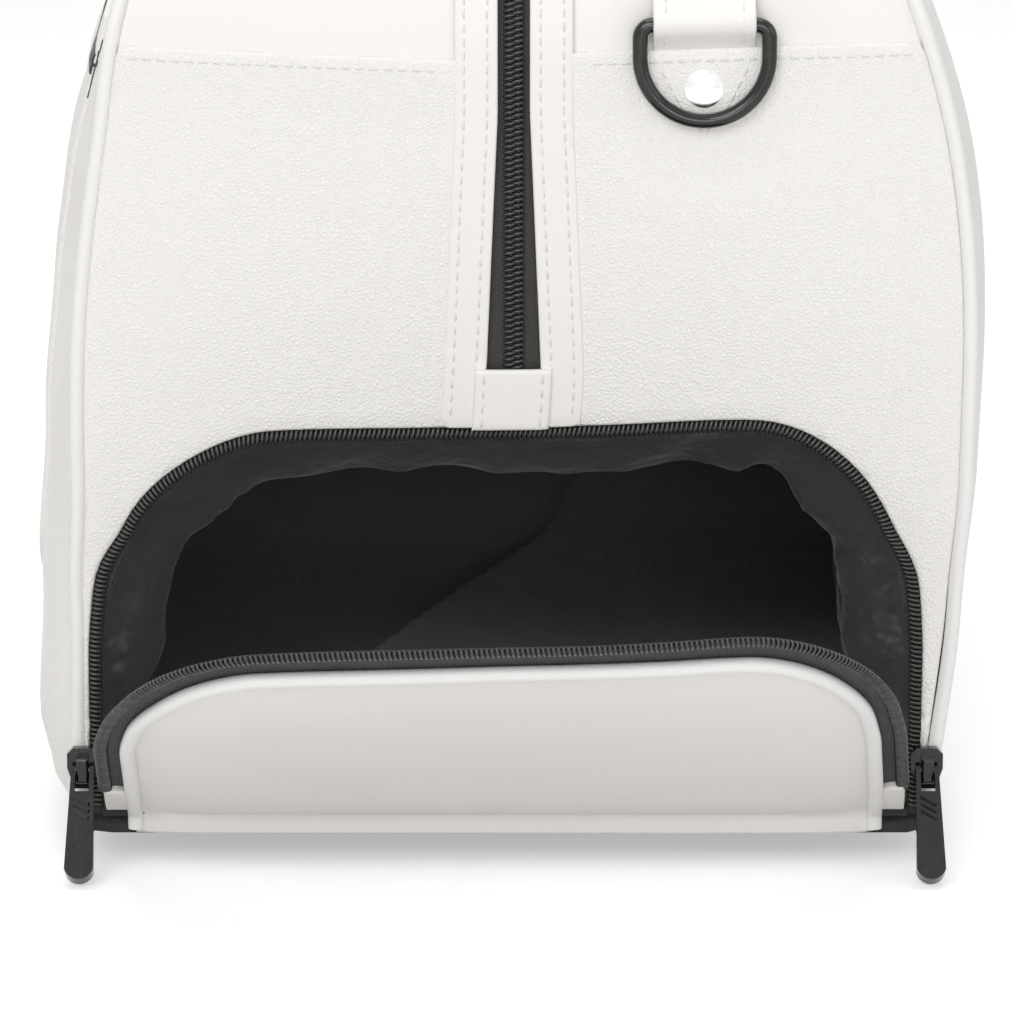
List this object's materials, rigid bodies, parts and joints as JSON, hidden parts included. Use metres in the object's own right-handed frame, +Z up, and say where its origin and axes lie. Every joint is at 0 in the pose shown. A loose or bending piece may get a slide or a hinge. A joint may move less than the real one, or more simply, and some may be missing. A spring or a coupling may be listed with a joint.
{
  "type": "golf shoe bag",
  "caption": "White leather-look golf holdall with a zipped shoe compartment in its end, main zip, side pocket, D-rings and two carrying handles.",
  "frame": {"origin": "on the ground under the middle of the bag, at the bottom of the centre base stud", "axes": "+Z up, +Y along the bag away from the shoe compartment, +X across the bag; the side pocket is at -X"},
  "size_m": [0.2498, 0.5452, 0.3851],
  "materials": {
    "grained_leather": "pebble-grained, satin",
    "smooth_leather": "smooth, satin",
    "piping_leather": "smooth, satin",
    "base_fabric": "matt",
    "board_plastic": "matt",
    "stud_plastic": "satin",
    "zip_tape": "twill weave",
    "zip_coil": "satin",
    "satin_lining": "sheen",
    "black_metal": "satin black",
    "bright_metal": "polished"
  },
  "bodies": {
    "bag": {"front_panel_left": "grained_leather", "front_panel_right": "grained_leather", "rear_panel_left": "grained_leather", "rear_panel_right": "grained_leather", "rear_lower_panel": "grained_leather", "side_panel_left": "grained_leather", "side_panel_right": "grained_leather", "pocket_panel": "grained_leather", "top_panel_left": "smooth_leather", "top_panel_right": "smooth_leather", "zip_facing_left": "smooth_leather", "zip_facing_right": "smooth_leather", "zip_tab_front": "smooth_leather", "zip_tab_rear": "smooth_leather", "d_ring_strap_front": "smooth_leather", "d_ring_strap_rear": "smooth_leather", "handle_anchors": "smooth_leather", "piping_left": "piping_leather", "piping_right": "piping_leather", "base_panel": "base_fabric", "flap_hinge_bead": "base_fabric", "base_board": "board_plastic", "base_feet": "stud_plastic", "main_zip_tape": "zip_tape", "shoe_zip_upper_tape": "zip_tape", "pocket_zip_tape": "zip_tape", "main_zip_coil": "zip_coil", "shoe_zip_upper_coil": "zip_coil", "pocket_zip_coil": "zip_coil", "shoe_compartment_lining": "satin_lining", "main_compartment_lining": "satin_lining", "d_ring_rivet_front": "bright_metal", "d_ring_rivet_rear": "bright_metal", "handle_rivets": "bright_metal"},
    "shoe_flap": {"flap_panel": "smooth_leather", "flap_piping": "piping_leather", "flap_zip_coil": "zip_coil", "flap_zip_tape": "zip_tape", "flap_lining": "satin_lining", "flap_corner_left": "smooth_leather", "flap_corner_right": "smooth_leather"},
    "left_shoe_slider": {"shoe_slider_left": "black_metal"},
    "right_shoe_slider": {"shoe_slider_right": "black_metal"},
    "left_shoe_pull": {"shoe_pull_left": "black_metal"},
    "right_shoe_pull": {"shoe_pull_right": "black_metal"},
    "front_main_slider": {"main_slider_front": "black_metal"},
    "rear_main_slider": {"main_slider_rear": "black_metal"},
    "front_main_pull": {"main_pull_front": "black_metal"},
    "rear_main_pull": {"main_pull_rear": "black_metal"},
    "side_pocket_slider": {"pocket_slider": "black_metal"},
    "side_pocket_pull": {"pocket_pull": "black_metal"},
    "front_d_ring": {"d_ring_front": "black_metal"},
    "rear_d_ring": {"d_ring_rear": "black_metal"},
    "left_handle": {"handle_left": "smooth_leather", "handle_grip_left": "smooth_leather", "handle_rings_left": "black_metal"},
    "right_handle": {"handle_right": "smooth_leather", "handle_grip_right": "smooth_leather", "handle_rings_right": "black_metal"}
  },
  "joints": [
    {"name": "flap_hinge", "type": "hinge", "parent": "bag", "child": "shoe_flap", "pos_m": [0, -0.23, 0.0145], "axis": [1, 0, 0], "range_deg": [-50, 35]},
    {"name": "left_shoe_slider_run", "type": "slide", "parent": "bag", "child": "left_shoe_slider", "axis": [0, 0, 1], "range_m": [0, 0.04]},
    {"name": "right_shoe_slider_run", "type": "slide", "parent": "bag", "child": "right_shoe_slider", "axis": [0, 0, 1], "range_m": [0, 0.04]},
    {"name": "left_shoe_pull_swing", "type": "hinge", "parent": "left_shoe_slider", "child": "left_shoe_pull", "pos_m": [-0.1136, -0.2352, 0.027], "axis": [-1, 0, 0], "range_deg": [-5, 125]},
    {"name": "right_shoe_pull_swing", "type": "hinge", "parent": "right_shoe_slider", "child": "right_shoe_pull", "pos_m": [0.1136, -0.2352, 0.027], "axis": [-1, 0, 0], "range_deg": [-5, 125]},
    {"name": "front_main_slider_run", "type": "slide", "parent": "bag", "child": "front_main_slider", "axis": [0, -1, 0], "range_m": [0, 0.125]},
    {"name": "rear_main_slider_run", "type": "slide", "parent": "bag", "child": "rear_main_slider", "axis": [0, 1, 0], "range_m": [0, 0.125]},
    {"name": "front_main_pull_swing", "type": "hinge", "parent": "front_main_slider", "child": "front_main_pull", "pos_m": [0, -0.011, 0.3008], "axis": [-1, 0, 0], "range_deg": [0, 100]},
    {"name": "rear_main_pull_swing", "type": "hinge", "parent": "rear_main_slider", "child": "rear_main_pull", "pos_m": [0, 0.011, 0.3008], "axis": [1, 0, 0], "range_deg": [0, 100]},
    {"name": "pocket_slider_run", "type": "slide", "parent": "bag", "child": "side_pocket_slider", "axis": [0, -1, 0], "range_m": [0, 0.25]},
    {"name": "pocket_pull_swing", "type": "hinge", "parent": "side_pocket_slider", "child": "side_pocket_pull", "pos_m": [-0.12646, 0.122, 0.20909], "axis": [0.2085, 0, 0.978], "range_deg": [0, 150]},
    {"name": "front_d_ring_swing", "type": "hinge", "parent": "bag", "child": "front_d_ring", "pos_m": [0.0522, -0.2323, 0.228], "axis": [-1, 0, 0], "range_deg": [0, 150]},
    {"name": "rear_d_ring_swing", "type": "hinge", "parent": "bag", "child": "rear_d_ring", "pos_m": [-0.0522, 0.2323, 0.228], "axis": [1, 0, 0], "range_deg": [0, 150]},
    {"name": "left_handle_swing", "type": "hinge", "parent": "bag", "child": "left_handle", "pos_m": [-0.10731, 0, 0.2436], "axis": [0, -1, 0], "range_deg": [0, 174]},
    {"name": "right_handle_swing", "type": "hinge", "parent": "bag", "child": "right_handle", "pos_m": [0.10731, 0, 0.2436], "axis": [0, 1, 0], "range_deg": [0, 180]}
  ]
}
